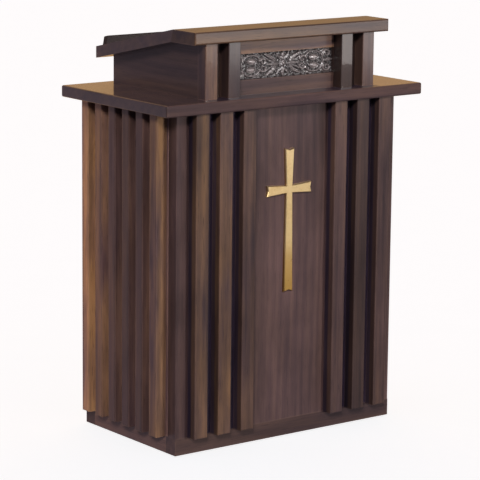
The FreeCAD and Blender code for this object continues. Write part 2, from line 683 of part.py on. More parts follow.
def cross_corners():
    """The cross, clockwise from the left corner of its top: flared arms with a notch in each end."""
    waist, flare, notch = "cross_waist", "cross_flare", "cross_notch"
    top, low, arm, reach = "cross_high", "cross_low", "cross_arm", "cross_reach"
    return [
        ("-" + flare, top), ("0", top + " - " + notch), (flare, top),
        (waist, arm + " + " + waist), (reach, arm + " + " + flare), (reach + " - " + notch, arm),
        (reach, arm + " - " + flare), (waist, arm + " - " + waist),
        (flare, low), ("0", low + " + " + notch), ("-" + flare, low),
        ("-" + waist, arm + " - " + waist), ("-" + reach, arm + " - " + flare),
        (notch + " - " + reach, arm), ("-" + reach, arm + " + " + flare),
        ("-" + waist, arm + " + " + waist),
    ]


def make_cross():
    body = new_body("cross", "0", "body_front", "0")
    pad(body, outline(body, "cross_outline", "XZ_Plane", cross_corners()), "cross_plate")
    bevel_edges(body, "cross_bevel", lambda edge, shape: on_side(edge, shape, "YMin"))
    group("cross_studs", [rod("cross_stud_%d" % number, "stud_radius", "stud_length", "0", "body_front", z,
                              ALONG_Y) for number, z in enumerate(STUD_ZS, 1)])


# ---------------------------------------------------------------- checks and files

def check_document():
    doc.recompute()
    for item in doc.Objects:
        if "Invalid" in item.State or "Error" in item.State:
            raise RuntimeError("%s did not compute: %s" % (item.Name, item.State))
    for item in sub_parts:
        shape = item.Shape
        if shape.isNull() or not shape.isValid() or not shape.Solids:
            raise RuntimeError("%s has no valid solid" % item.Label)


def write_parts():
    os.makedirs("parts", exist_ok=True)
    for item in sub_parts:
        item.Shape.exportStep("parts/%s.step" % item.Label)
        box = item.Shape.BoundBox
        print("%-20s solids %2d  volume %9.0f  z %.1f..%.1f" % (
            item.Label, len(item.Shape.Solids), item.Shape.Volume, box.ZMin, box.ZMax))
    print(len(sub_parts), "sub-parts")


make_sheet()
make_plinth()
make_glides()
make_cabinet()
make_bottom_board()
make_shelf()
make_front_fins()
make_side_fins()
make_deck()
make_deck_cleats()
make_riser()
make_desk_ledge()
make_reading_board()
make_book_stop()
make_desk_cleats()
make_cross()
check_document()
write_parts()
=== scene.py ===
"""Looks, light and camera for the walnut pulpit lectern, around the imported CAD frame. Metres."""
import json
import math
from types import SimpleNamespace

import bpy
import numpy as np
from mathutils import Matrix, Vector


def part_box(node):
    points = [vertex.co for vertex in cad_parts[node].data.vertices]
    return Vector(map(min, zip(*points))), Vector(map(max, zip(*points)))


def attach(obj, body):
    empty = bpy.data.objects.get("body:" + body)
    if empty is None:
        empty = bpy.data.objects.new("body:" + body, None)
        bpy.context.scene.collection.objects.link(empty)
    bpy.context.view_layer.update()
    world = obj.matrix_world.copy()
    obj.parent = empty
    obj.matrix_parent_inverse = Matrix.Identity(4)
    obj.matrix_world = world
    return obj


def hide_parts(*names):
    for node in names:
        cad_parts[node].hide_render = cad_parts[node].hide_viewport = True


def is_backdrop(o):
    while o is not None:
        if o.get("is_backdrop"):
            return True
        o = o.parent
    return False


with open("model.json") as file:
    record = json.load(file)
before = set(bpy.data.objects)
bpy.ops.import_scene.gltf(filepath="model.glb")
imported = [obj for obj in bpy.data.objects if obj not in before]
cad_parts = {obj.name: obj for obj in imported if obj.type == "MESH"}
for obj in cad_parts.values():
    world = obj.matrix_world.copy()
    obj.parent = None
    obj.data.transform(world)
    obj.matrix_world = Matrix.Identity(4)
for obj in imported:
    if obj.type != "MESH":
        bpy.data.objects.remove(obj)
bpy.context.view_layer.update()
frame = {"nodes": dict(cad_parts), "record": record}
NODES = frame["nodes"]

MM = 0.001


# ---------------------------------------------------------------- node graphs

# Sockets of the Mix node when it mixes colours
MIX_FACTOR = 0
MIX_A = 6
MIX_B = 7
MIX_RESULT = 2

# Nearly all of a noise texture's values lie between these
NOISE_LOW = 0.3
NOISE_HIGH = 0.7


class Graph:
    """A short way to write a shader node tree: add() makes a node and fills or links its sockets."""

    def __init__(self, name):
        self.material = bpy.data.materials.new(name)
        self.material.use_nodes = True
        self.nodes = self.material.node_tree.nodes
        self.links = self.material.node_tree.links
        self.shader = self.nodes["Principled BSDF"]

    def put(self, node, key, value):
        socket = node.inputs[key]
        if isinstance(value, bpy.types.NodeSocket):
            self.links.new(value, socket)
        else:
            socket.default_value = value

    def add(self, kind, inputs=None, **settings):
        node = self.nodes.new("ShaderNode" + kind)
        for key, value in settings.items():
            setattr(node, key, value)
        for key, value in (inputs or {}).items():
            self.put(node, key, value)
        return node

    def set(self, **inputs):
        """Fills or links sockets of the Principled shader; an underscore stands for a space."""
        for key, value in inputs.items():
            self.put(self.shader, key.replace("_", " "), value)

    def math(self, operation, a, b=None, c=None, clamp=False):
        values = {i: v for i, v in enumerate((a, b, c)) if v is not None}
        return self.add("Math", values, operation=operation, use_clamp=clamp).outputs[0]

    def ramp(self, value, stops):
        """Maps a value to colours; stops are (position, colour) with a grey number or an RGB."""
        node = self.add("ValToRGB", {"Fac": value})
        elements = node.color_ramp.elements
        while len(elements) < len(stops):
            elements.new(0.5)
        for element, (position, colour) in zip(elements, stops):
            element.position = position
            rgb = (colour,) * 3 if isinstance(colour, (int, float)) else colour
            element.color = (*rgb, 1)
        return node.outputs["Color"]

    def span(self, value, low, high, to_low=0.0, to_high=1.0):
        """Maps low..high to to_low..to_high and holds the end values outside it."""
        node = self.add("MapRange", {"Value": value, "From Min": low, "From Max": high,
                                     "To Min": to_low, "To Max": to_high})
        return node.outputs["Result"]

    def spread(self, noise, low=0.0, high=1.0):
        """Maps a noise, over the range that it mostly keeps to, to low..high."""
        return self.span(noise, NOISE_LOW, NOISE_HIGH, low, high)

    def mix(self, factor, a, b, blend="MIX"):
        node = self.add("Mix", data_type="RGBA", blend_type=blend)
        self.put(node, MIX_FACTOR, factor)
        self.put(node, MIX_A, a if isinstance(a, bpy.types.NodeSocket) else (*a, 1))
        self.put(node, MIX_B, b if isinstance(b, bpy.types.NodeSocket) else (*b, 1))
        return node.outputs[MIX_RESULT]

    def noise(self, vector, scale, detail=2.0, roughness=0.5):
        node = self.add("TexNoise", {"Vector": vector, "Scale": scale, "Detail": detail,
                                     "Roughness": roughness})
        return node.outputs["Fac"]

    def place(self):
        return self.add("TexCoord").outputs["Object"]

    def place_parts(self):
        """The three coordinates of the point, one by one."""
        return self.add("SeparateXYZ", {"Vector": self.place()}).outputs

    def normal_parts(self):
        """The three parts of the direction that the surface faces, in the object's own axes."""
        return self.add("SeparateXYZ", {"Vector": self.add("TexCoord").outputs["Normal"]}).outputs

    def mapped(self, vector, location=(0, 0, 0), rotation=(0, 0, 0), scale=(1, 1, 1)):
        node = self.add("Mapping", {"Vector": vector, "Location": location, "Rotation": rotation,
                                    "Scale": scale})
        return node.outputs["Vector"]


def edge_distance(graph, low, high):
    """Distance, in metres, from a point on a box's surface to the nearest edge of that box."""
    point = graph.place_parts()
    gaps = []
    for i in range(3):
        below = graph.math("SUBTRACT", point[i], low[i])
        above = graph.math("SUBTRACT", high[i], point[i])
        gaps.append(graph.math("MINIMUM", below, above))
    small = graph.math("MINIMUM", gaps[0], gaps[1])
    large = graph.math("MAXIMUM", gaps[0], gaps[1])
    return graph.math("MAXIMUM", small, graph.math("MINIMUM", large, gaps[2]))


# ---------------------------------------------------------------- walnut

GRAIN_TURN = {"x": (0, math.pi / 2, 0), "y": (math.pi / 2, 0, 0), "z": (0, 0, 0)}
WALNUT_DARK = (0.028, 0.0165, 0.0190)
WALNUT_MID = (0.068, 0.0385, 0.0375)
WALNUT_LIGHT = (0.115, 0.0650, 0.0540)
WALNUT_GOLD = (0.210, 0.1120, 0.0500)
WALNUT_WORN = (0.165, 0.0950, 0.0700)
WALNUT_PORE = tuple(0.5 * c for c in WALNUT_DARK)

# How much each part of the figure adds to its lightness
FIGURE_BASE = 0.28
RIBBON_SHARE = 0.56
RING_SHARE = 0.10
FIBRE_SHARE = 0.30
BEND_SHARE = 0.35

# Brightness of end grain, the limit of all shares together, and how dark the pores are drawn
END_GRAIN = 0.45
BRIGHTEST = 2.0
PORE_DEPTH = 0.55

# Parts of the normal along an axis at which a face begins to count as looking along it, and fully does
TURNED_FROM = 0.6
TURNED_TO = 0.9

# Roughness: its swing about a board's own value, and how much is added where an edge is worn
ROUGH_SWING = 0.05
WORN_ROUGHER = 0.14

# Worn edges: the least reach of the wear, how much a noise adds to it, and its weakest and strongest
WEAR_REACH = 0.5 * MM
WEAR_SWING = 6 * MM
WEAR_WEAK = 0.05
WEAR_STRONG = 0.45

# Painted shade bands: how softly they begin, the bluish dark colour painted in them as shade, and the share
# of the coat that they keep
RECESS_BLUR = 2 * MM
SHADE_BAND_TINT = (0.46, 0.54, 1.0)
RECESS_COAT = 0.35


def toned(colour, tone):
    return tuple(tone * c for c in colour)


def turned(graph, facing, share):
    """One on faces turned away from an axis, and the share on faces that look along it."""
    return graph.span(facing, TURNED_FROM, TURNED_TO, 1.0, share)


def recess_mask(graph, recess):
    """One inside a band of painted shade, of |x| and y given as (x from, x to, y from, y to), nought outside
    it.
    """
    point = graph.place_parts()
    across = graph.math("ABSOLUTE", point[0])
    mask = 1.0
    for value, start, end in ((across, *recess[:2]), (point[1], *recess[2:])):
        for edge, sign in ((start, 1), (end, -1)):
            inside = graph.span(value, edge - sign * RECESS_BLUR, edge + sign * RECESS_BLUR)
            mask = graph.math("MULTIPLY", inside, mask)
    return mask


def walnut_figure(graph, along, fibre, ribbon):
    """Lightness of the wood's figure: growth rings, ribbons, fibres and slow bends."""
    bend = graph.noise(graph.mapped(along, scale=(3.0, 3.0, 0.7)), 2.0)
    centre = graph.mapped(along, location=(0.21, 0.33, 0), scale=(1, 1, 0.09))
    rings = graph.add("TexWave", {"Vector": centre, "Scale": 13.0, "Distortion": 7.0, "Detail": 3.0,
                                  "Detail Scale": 1.3, "Detail Roughness": 0.55},
                      wave_type="RINGS", rings_direction="Z").outputs["Fac"]
    streak = graph.noise(graph.mapped(along, scale=(1, 1, 0.03)), 46.0, detail=4, roughness=0.65)
    figure = graph.math("MULTIPLY_ADD", graph.math("SUBTRACT", streak, 0.5), RIBBON_SHARE * ribbon,
                        FIGURE_BASE)
    figure = graph.math("MULTIPLY_ADD", rings, RING_SHARE, figure)
    figure = graph.math("MULTIPLY_ADD", fibre, FIBRE_SHARE, figure)
    return graph.math("MULTIPLY_ADD", graph.math("SUBTRACT", bend, 0.5), BEND_SHARE / ribbon, figure)


def walnut_colour(graph, along, figure, tone, gold):
    """The colour of the figure, with patches of the paler heartwood; through the tone and the gold of a few
    boards it also carries painted light and shade.
    """
    colour = graph.ramp(figure, [
        (0.22, toned(WALNUT_DARK, tone)),
        (0.50, toned(WALNUT_MID, tone)),
        (0.80, toned(WALNUT_LIGHT, tone)),
    ])
    patch = graph.noise(graph.mapped(along, scale=(2.5, 2.5, 0.30)), 9.0, detail=3)
    golden = graph.math("MULTIPLY", graph.span(patch, 0.35, 0.70, 0.0, 2.0 * gold),
                        graph.span(figure, 0.2, 0.8, 0.4, 1.0))
    return graph.mix(golden, colour, toned(WALNUT_GOLD, tone))


def walnut_shade(graph, board, mottle):
    """Brightness of the colour: clouds, dark end grain, and painted light and shade on faces that look
    sideways or forward.
    """
    facing = graph.normal_parts()
    shade = graph.spread(mottle, 1 - board.cloud, 1 + board.cloud)
    end_face = graph.math("ABSOLUTE", facing["xyz".index(board.grain)])
    shade = graph.math("MULTIPLY", shade, turned(graph, end_face, END_GRAIN))
    # Painted light and shade: faces that look sideways or forward are made darker or lighter for how the
    # light falls on them
    if board.flanks:
        sideways = graph.math("ABSOLUTE", facing[0])
        forward = graph.math("MULTIPLY", facing[1], -1.0)
        for face, share in zip((sideways, forward), board.flanks):
            shade = graph.math("MULTIPLY", shade, turned(graph, face, share))
    return graph.math("MINIMUM", shade, BRIGHTEST)


def edge_wear(graph, board, mottle):
    """Rubbed edges: strongest on the edge itself and gone a few uneven millimetres from it."""
    reach = graph.math("MULTIPLY_ADD", graph.noise(graph.place(), 55.0, detail=4), WEAR_SWING, WEAR_REACH)
    edge = graph.math("DIVIDE", edge_distance(graph, board.low, board.high), reach)
    wear = graph.math("SUBTRACT", 1.0, edge, clamp=True)
    return graph.math("MULTIPLY", wear, graph.span(mottle, 0.38, 0.62, WEAR_WEAK, WEAR_STRONG))


def walnut(name, board):
    """Stained and lacquered walnut; every board has its own stretch of the figure and its own tone."""
    graph = Graph(name)
    seed = board.number
    shift = (0.37 * seed % 1.9, 0.53 * seed % 1.7, 0.71 * seed % 2.3)
    along = graph.mapped(graph.place(), rotation=GRAIN_TURN[board.grain])
    along = graph.mapped(along, location=shift)

    fibre = graph.noise(graph.mapped(along, scale=(1, 1, 0.022)), 260.0, detail=4, roughness=0.62)
    pores = graph.noise(graph.mapped(along, scale=(1, 1, 0.035)), 620.0)
    pore_mask = graph.span(pores, 0.60, 0.70)
    mottle = graph.noise(graph.mapped(along, scale=(1, 1, 0.4)), 5.5, detail=4, roughness=0.6)
    figure = walnut_figure(graph, along, fibre, board.ribbon)
    wear = edge_wear(graph, board, mottle)

    colour = walnut_colour(graph, along, figure, board.tone, board.gold)
    coat = board.coat
    # Painted shade: inside the band the colour is darkened and tinted blue and the coat is dulled, standing
    # in for the shade between the parts
    if board.recess:
        inside = recess_mask(graph, board.recess)
        colour = graph.mix(inside, colour, SHADE_BAND_TINT, "MULTIPLY")
        coat = graph.span(inside, 0, 1, coat, RECESS_COAT * coat)
    # The brightness carries painted light and shade on faces turned sideways or forward
    colour = graph.mix(1.0, colour, walnut_shade(graph, board, mottle), "MULTIPLY")
    colour = graph.mix(graph.math("MULTIPLY", pore_mask, PORE_DEPTH), colour, WALNUT_PORE)
    colour = graph.mix(wear, colour, toned(WALNUT_WORN, board.tone))

    rub = graph.spread(mottle, board.rough - ROUGH_SWING, board.rough + ROUGH_SWING)
    rub = graph.math("MULTIPLY_ADD", wear, WORN_ROUGHER, rub)
    height = graph.math("MULTIPLY_ADD", fibre, 0.5, graph.math("MULTIPLY", pore_mask, -0.6))
    bump = graph.add("Bump", {"Strength": 0.35, "Distance": 0.4 * MM, "Height": height})
    peel = graph.add("Bump", {"Strength": 0.25, "Distance": 0.6 * MM,
                              "Height": graph.noise(graph.place(), 70.0)})
    graph.set(Base_Color=colour, Roughness=rub, Normal=bump.outputs["Normal"],
              Coat_Weight=coat, Coat_Roughness=board.coat_rough, Coat_IOR=1.5,
              Coat_Normal=peel.outputs["Normal"], IOR=1.45, Specular_IOR_Level=0.25)
    return graph.material


# ---------------------------------------------------------------- other finishes

def carved_walnut(name):
    """Glossy carving, with a painted highlight on the rolled crests and painted shade, nearly black, in the
    ground between them.
    """
    graph = Graph(name)
    relief = graph.add("Attribute", attribute_name="relief").outputs["Fac"]
    grain = graph.mapped(graph.place(), scale=(0.05, 1, 1))
    fibre = graph.noise(grain, 300.0, detail=4, roughness=0.6)
    # Painted light and shade: the colour goes from near black in the low ground to a pale grey on the high
    # crests
    colour = graph.ramp(graph.math("MULTIPLY_ADD", fibre, 0.25, graph.math("MULTIPLY", relief, 0.75)), [
        (0.10, (0.006, 0.0040, 0.0045)),
        (0.42, (0.045, 0.033, 0.033)),
        (0.85, (0.210, 0.175, 0.168)),
    ])
    rough = graph.span(relief, 0.0, 1.0, 0.55, 0.26)
    bump = graph.add("Bump", {"Strength": 0.3, "Distance": 0.4 * MM, "Height": fibre})
    graph.set(Base_Color=colour, Roughness=rough, Normal=bump.outputs["Normal"], Coat_Weight=1.0,
              Coat_Roughness=0.10, Coat_IOR=1.55, IOR=1.5)
    return graph.material


def gilt_brass(name, low, high):
    """Satin gilding, brushed along its length, with a painted reflection: pale above, warmer and duller
    towards the foot.
    """
    graph = Graph(name)
    rise = graph.span(graph.place_parts()[2], low[2], high[2])
    cloud = graph.noise(graph.place(), 24.0, detail=5, roughness=0.65)
    brushed = graph.noise(graph.mapped(graph.place(), scale=(1, 1, 0.03)), 900.0)
    # Painted reflection: the gilding is pale above about a third of its height and a deep, dark gold below it
    colour = graph.ramp(rise, [
        (0.0, (0.50, 0.29, 0.075)),
        (0.25, (0.62, 0.40, 0.15)),
        (0.35, (0.80, 0.58, 0.27)),
        (1.0, (0.82, 0.62, 0.32)),
    ])
    colour = graph.mix(graph.span(cloud, 0.45, 0.75, 0.0, 0.5), colour, (0.40, 0.22, 0.07))
    rough = graph.math("MULTIPLY_ADD", cloud, 0.22, 0.20)
    bump = graph.add("Bump", {"Strength": 0.2, "Distance": 0.2 * MM, "Height": brushed})
    graph.set(Base_Color=colour, Metallic=1.0, Roughness=rough, Normal=bump.outputs["Normal"])
    return graph.material


def plain_beech(name):
    """Bare beech of the dowels."""
    graph = Graph(name)
    fibre = graph.noise(graph.mapped(graph.place(), scale=(1, 0.05, 1)), 300.0, detail=3)
    colour = graph.ramp(fibre, [(NOISE_LOW, (0.36, 0.21, 0.11)), (NOISE_HIGH, (0.56, 0.38, 0.22))])
    graph.set(Base_Color=colour, Roughness=graph.spread(fibre, 0.55, 0.7))
    return graph.material


def zinc_steel(name):
    """Zinc-plated steel of screws and pins, with a faint bloom."""
    graph = Graph(name)
    cloud = graph.noise(graph.place(), 300.0, detail=3)
    colour = graph.ramp(cloud, [(NOISE_LOW, (0.40, 0.41, 0.42)), (NOISE_HIGH, (0.62, 0.62, 0.60))])
    graph.set(Base_Color=colour, Metallic=1.0, Roughness=graph.spread(cloud, 0.28, 0.45))
    return graph.material


def black_nylon(name):
    """Matt nylon of the glides, with a fine moulded grit."""
    graph = Graph(name)
    grit = graph.noise(graph.place(), 700.0)
    colour = graph.ramp(grit, [(NOISE_LOW, (0.012, 0.012, 0.013)), (NOISE_HIGH, (0.03, 0.03, 0.032))])
    bump = graph.add("Bump", {"Strength": 0.3, "Distance": 0.3 * MM, "Height": grit})
    graph.set(Base_Color=colour, Roughness=graph.spread(grit, 0.45, 0.62),
              Normal=bump.outputs["Normal"])
    return graph.material


# ---------------------------------------------------------------- the carving

# Millimetres: the mesh's step, the ground's depth, the crest above it, and half the drawn width and height
GRID_STEP = 0.6
GROUND = 7.0
CREST = 11.0
DRAWN_REACH = 169.0
DRAWN_RISE = 41.5

# Millimetres: spacing of the small curls, tool marks in the ground, and the height up to which they show
TENDRIL_PITCH = 12.5
GROUND_GRAIN = 0.10
BARE_GROUND = 0.2

# Shares of a bowl's radius and height
DOME_SHARE = 0.78
DOME_RISE = 0.92
RIM_MIDDLE = 0.88
RIM_HALF = 0.12
RIM_RISE = 0.62
BOWL_FLOOR = 0.25

# Petals, and shares of the rosette's radius and height
ROSETTE_PETALS = 8
FLOWER_RISE = 0.8
BOSS_SHARE = 0.36
BOSS_RISE = 1.05


def ring_path(centre, radius, start, end, end_radius=None, count=90):
    """Points along an arc or spiral; angles in degrees, anticlockwise from +X."""
    turn = np.radians(np.linspace(start, end, count))
    reach = np.linspace(radius, radius if end_radius is None else end_radius, count)
    return np.column_stack([centre[0] + reach * np.cos(turn), centre[1] + reach * np.sin(turn)])


def dome_of(share):
    """Height of a round dome, 1 in its middle, at a share of its radius; 0 outside it."""
    return np.sqrt(np.clip(1 - share ** 2, 0, 1))


def nearest(across, up, path):
    """Distance to the path, and how far along it the nearest point lies, from 0 to 1."""
    best = np.full(across.shape, np.inf)
    along = np.zeros(across.shape)
    for i, (x, y) in enumerate(path):
        gap = np.hypot(across - x, up - y)
        closer = gap < best
        best[closer] = gap[closer]
        along[closer] = i / (len(path) - 1)
    return best, along


def roll(across, up, path, start_width, end_width, height):
    """A rolled stem that tapers along its path and has a fine groove on each side of its crest."""
    gap, along = nearest(across, up, path)
    width = start_width + (end_width - start_width) * along
    share = np.clip(gap / width, 0, 1)
    crest = np.sqrt(1 - share ** 2)
    groove = 0.16 * np.exp(-((share - 0.55) / 0.10) ** 2)
    swell = 0.45 + 0.55 * width / max(start_width, end_width)
    return height * swell * np.clip(crest - groove, 0, 1)


def leaf(across, up, root, tip, width, height, bow=0.0, lobes=4):
    """A pointed leaf with scalloped sides, a sunk midrib and slanting veins."""
    root, tip = np.array(root, float), np.array(tip, float)
    length = np.linalg.norm(tip - root)
    ahead = (tip - root) / length
    aside = np.array([-ahead[1], ahead[0]])
    t = ((across - root[0]) * ahead[0] + (up - root[1]) * ahead[1]) / length
    inside = np.clip(t, 0, 1)
    s = (across - root[0]) * aside[0] + (up - root[1]) * aside[1] - bow * np.sin(np.pi * inside)
    scallop = 0.80 + 0.20 * np.abs(np.cos(np.pi * lobes * inside))
    half = width * np.sin(np.pi * np.clip(inside, 0.02, 1) ** 0.75) ** 0.8 * scallop
    share = np.abs(s) / np.maximum(half, 1e-6)
    body = dome_of(share) * (0.72 + 0.28 * inside)
    midrib = 0.30 * np.exp(-(s / 0.9) ** 2)
    veins = 0.10 * (0.5 + 0.5 * np.cos(2 * np.pi * (lobes * inside - 0.55 * share)))
    shape = height * np.clip(body - midrib * body - veins * body, 0, 1)
    return np.where((t > 0) & (t < 1) & (share < 1), shape, 0)


def bowl(across, up, centre, long, short, tilt, height):
    """An oval dish with a rounded rim and a smooth swelling in its middle."""
    turn = math.radians(tilt)
    x = (across - centre[0]) * math.cos(turn) + (up - centre[1]) * math.sin(turn)
    y = -(across - centre[0]) * math.sin(turn) + (up - centre[1]) * math.cos(turn)
    share = np.hypot(x / long, y / short)
    dome = DOME_RISE * dome_of(share / DOME_SHARE) + BOWL_FLOOR
    rim = RIM_RISE * dome_of((share - RIM_MIDDLE) / RIM_HALF) + BOWL_FLOOR
    shape = np.where(share < DOME_SHARE, np.maximum(dome, rim), rim)
    return height * np.where(share < 1, shape, 0)


def rosette(across, up, radius, height):
    """A round flower of equal petals about a raised boss."""
    reach = np.hypot(across, up)
    petal = np.abs(np.cos(0.5 * ROSETTE_PETALS * np.arctan2(up, across)))
    edge = radius * (0.80 + 0.20 * petal)
    flower = dome_of(reach / edge) * (0.70 + 0.30 * petal)
    boss = dome_of(reach / (BOSS_SHARE * radius))
    return height * np.maximum(FLOWER_RISE * flower, BOSS_RISE * boss)


def tendrils(across, up):
    """Small curls, each turned its own way, that fill the ground between the large shapes."""
    pitch = TENDRIL_PITCH
    column = np.floor(across / pitch)
    offset = 0.5 * pitch * (column % 2)
    row = np.floor((up + offset) / pitch)
    x = across - (column + 0.5) * pitch
    y = up + offset - (row + 0.5) * pitch
    turn = 2.4 * column + 1.7 * row
    hand = np.where((column + row) % 2 == 0, 1.0, -1.0)
    u = hand * (x * np.cos(turn) + y * np.sin(turn))
    v = y * np.cos(turn) - x * np.sin(turn)
    return roll(u, v, ring_path((0, 0), 5.0, 0, 430, 1.0, 48), 1.9, 1.0, 5.5)


def carving_height(across, up):
    """Height of the carving above its ground, in millimetres, the same on both sides of the middle."""
    across = np.abs(across)
    shapes = [
        roll(across, up, ring_path((105, 0), 33, 150, -150), 3.6, 3.6, 7.5),
        roll(across, up, ring_path((66.5, 10), 11, 20, 430, 2.5), 4.4, 2.0, 10.5),
        roll(across, up, ring_path((65.5, -11), 11.5, -20, -430, 2.5), 4.4, 2.0, 10.0),
        roll(across, up, ring_path((150, 22), 13.5, 200, -240, 3), 4.6, 2.2, 10.0),
        roll(across, up, ring_path((150, -22), 13.5, -200, 240, 3), 4.6, 2.2, 10.0),
        roll(across, up, ring_path((18, 66), 60, -84, -52), 2.2, 3.6, 7.0),
        roll(across, up, ring_path((18, -66), 60, 84, 52), 2.2, 3.6, 7.0),
        bowl(across, up, (104, 13), 16, 10.5, 6, 10.5),
        bowl(across, up, (106, -14), 16, 10.5, -6, 10.5),
        leaf(across, up, (22, 8), (64, 35), 8.0, 10.5, bow=2.5),
        leaf(across, up, (22, -9), (62, -35), 8.0, 10.0, bow=-2.5),
        leaf(across, up, (12, 0), (56, 0), 7.0, 9.0, lobes=5),
        leaf(across, up, (140, 0), (175, 2), 8.0, 9.5, lobes=3),
        leaf(across, up, (128, 30), (172, 39), 5.0, 7.5, bow=1.5),
        leaf(across, up, (128, -30), (172, -39), 5.0, 7.5, bow=-1.5),
        leaf(across, up, (72, 30), (104, 41), 4.5, 6.5, bow=1.0, lobes=3),
        leaf(across, up, (72, -30), (104, -41), 4.5, 6.5, bow=-1.0, lobes=3),
        leaf(across, up, (0, 8), (0, 41), 8.5, 10.5, lobes=3),
        leaf(across, up, (0, -8), (0, -41), 8.5, 10.0, lobes=3),
        leaf(across, up, (3, 12), (22, 36), 5.5, 8.5, bow=-1.0, lobes=3),
        leaf(across, up, (3, -12), (22, -36), 5.5, 8.5, bow=1.0, lobes=3),
        rosette(across, up, 13, 11.0),
        tendrils(across, up),
    ]
    return np.maximum.reduce(shapes)


def relief_grid(low, high):
    """Grid points of the carving's front as (across, up, height), in millimetres from the window's middle."""
    width, tall = (high.x - low.x) / MM, (high.z - low.z) / MM
    x = np.linspace(-width / 2, width / 2, int(width / GRID_STEP) + 1)
    z = np.linspace(-tall / 2, tall / 2, int(tall / GRID_STEP) + 1)
    across, up = np.meshgrid(x, z)
    drawn_across = across * DRAWN_REACH / (width / 2)
    drawn_up = up * DRAWN_RISE / (tall / 2)
    return across, up, np.minimum(carving_height(drawn_across, drawn_up), CREST)


def sheet_faces(rows, columns):
    """Quads of a grid sheet, and the indices of its rim in order."""
    index = np.arange(rows * columns).reshape(rows, columns)
    quads = np.stack([index[:-1, :-1], index[:-1, 1:], index[1:, 1:], index[1:, :-1]], axis=-1)
    rim = np.concatenate([index[0, :-1], index[:-1, -1], index[-1, :0:-1], index[:0:-1, 0]])
    return quads.reshape(-1, 4).tolist(), rim


def carving_mesh(low, high):
    """The carving as one closed mesh: a relief sheet in front, flat sides and a flat back."""
    across, up, height = relief_grid(low, high)
    grain = GROUND_GRAIN * np.sin(across * 1.9 + 3 * np.sin(up * 0.35)) * np.sin(up * 2.3)
    depth = GROUND + height + np.where(height > BARE_GROUND, 0, grain)
    centre_z = (low.z + high.z) / 2
    front = np.column_stack([across.ravel() * MM, (high.y - depth * MM).ravel(),
                             centre_z + up.ravel() * MM])

    faces, rim = sheet_faces(*across.shape)
    curved = len(faces)
    back = front[rim].copy()
    back[:, 1] = high.y
    first = len(front)
    count = len(rim)
    for i in range(count):
        j = (i + 1) % count
        faces.append([int(rim[j]), int(rim[i]), first + i, first + j])
    faces.append([first + i for i in range(count)][::-1])

    mesh = bpy.data.meshes.new("carved_scrolls")
    mesh.from_pydata(np.vstack([front, back]).tolist(), [], faces)
    mesh.polygons.foreach_set("use_smooth", np.arange(len(faces)) < curved)
    relief = mesh.attributes.new("relief", "FLOAT", "POINT")
    relief.data.foreach_set("value", np.r_[height.ravel() / CREST, np.zeros(count)].astype(np.float32))
    mesh.update()
    return mesh


def carved_panel():
    """The carved grille, in place of its plain CAD piece."""
    low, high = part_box("carved_grille")
    panel = bpy.data.objects.new("carved_scrolls", carving_mesh(low, high))
    bpy.context.scene.collection.objects.link(panel)
    panel.data.materials.append(carved_walnut("walnut_carved"))
    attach(panel, "root")
    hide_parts("carved_grille")
    return panel


# ---------------------------------------------------------------- finishes of the CAD nodes

GRAIN_ACROSS = ("deck", "desk_ledge", "reading_board", "book_stop", "plinth_front", "plinth_rear",
                "riser_bottom_rail", "riser_top_rail", "bottom_board", "inner_shelf", "back_top_rail",
                "desk_cleat_front", "grille_backing")
GRAIN_DEEP = ("riser_left_panel", "riser_right_panel", "plinth_left", "plinth_right", "deck_cleat_left",
              "deck_cleat_right", "desk_cleat_left", "desk_cleat_right")
SATIN_INSIDE = ("bottom_board", "inner_shelf", "back_top_rail", "deck_cleat_left", "deck_cleat_right",
                "desk_cleat_front", "desk_cleat_left", "desk_cleat_right", "grille_backing")

# The tables below give a board, or a numbered set of boards by its shared name, what isn't usual about it.

# Lacquer as (coat, roughness of the coat, roughness below it)
USUAL_COAT = (0.45, 0.10, 0.45)
SATIN_COAT = (0.25, 0.3, 0.5)
COATS = {"deck": (1.0, 0.05, 0.40), "desk_ledge": (0.45, 0.12, 0.40), "reading_board": (0.8, 0.08, 0.40),
         "book_stop": (0.2, 0.2, 0.5), "riser_top_rail": (0.2, 0.12, 0.45),
         "riser_batten_2": (0.9, 0.16, 0.40), "riser_batten_3": (1.0, 0.05, 0.40),
         "riser_batten_4": (0.6, 0.18, 0.40)}

# Lightness of the stain, 1 for an average board. Some entries are painted light and shade: book_stop is
# darkened as painted shade, left_side_panel is lightened as painted light, and riser_top_rail, left_fin_5 and
# left_fin_6 are lightened as a painted warm sheen.
TONES = {"deck": 1.06, "desk_ledge": 0.72, "reading_board": 1.4, "book_stop": 0.35,
         "riser_batten_1": 1.15, "riser_batten_2": 0.85, "riser_batten_3": 0.40, "riser_batten_4": 1.1,
         "riser_top_rail": 1.5, "riser_bottom_rail": 0.9, "riser_left_panel": 0.60,
         "riser_left_stile": 0.4, "riser_right_stile": 0.4, "left_side_panel": 2.0,
         "left_fin_1": 1.05, "left_fin_2": 0.80, "left_fin_3": 0.75, "left_fin_4": 0.85,
         "left_fin_5": 1.2, "left_fin_6": 1.9,
         "front_fin_1": 0.76, "front_fin_2": 0.9, "front_fin_3": 0.83, "front_fin_4": 0.95,
         "front_fin_5": 0.52, "front_fin_6": 0.85, "plinth_front": 0.69, "plinth_left": 1.2}

# Share of pale heartwood; for left_fin_1, left_fin_5, left_fin_6 and riser_top_rail it is also a painted warm
# sheen
USUAL_GOLD = 0.16
GOLDS = {"left_fin_1": 0.8, "left_fin_5": 0.6, "left_fin_6": 1.0, "front_fin_1": 0.55,
         "front_fin_2": 0.55, "front_fin_3": 0.3, "front_panel": 0.05, "riser_batten_1": 0.4,
         "riser_top_rail": 0.9, "desk_ledge": 0.5}

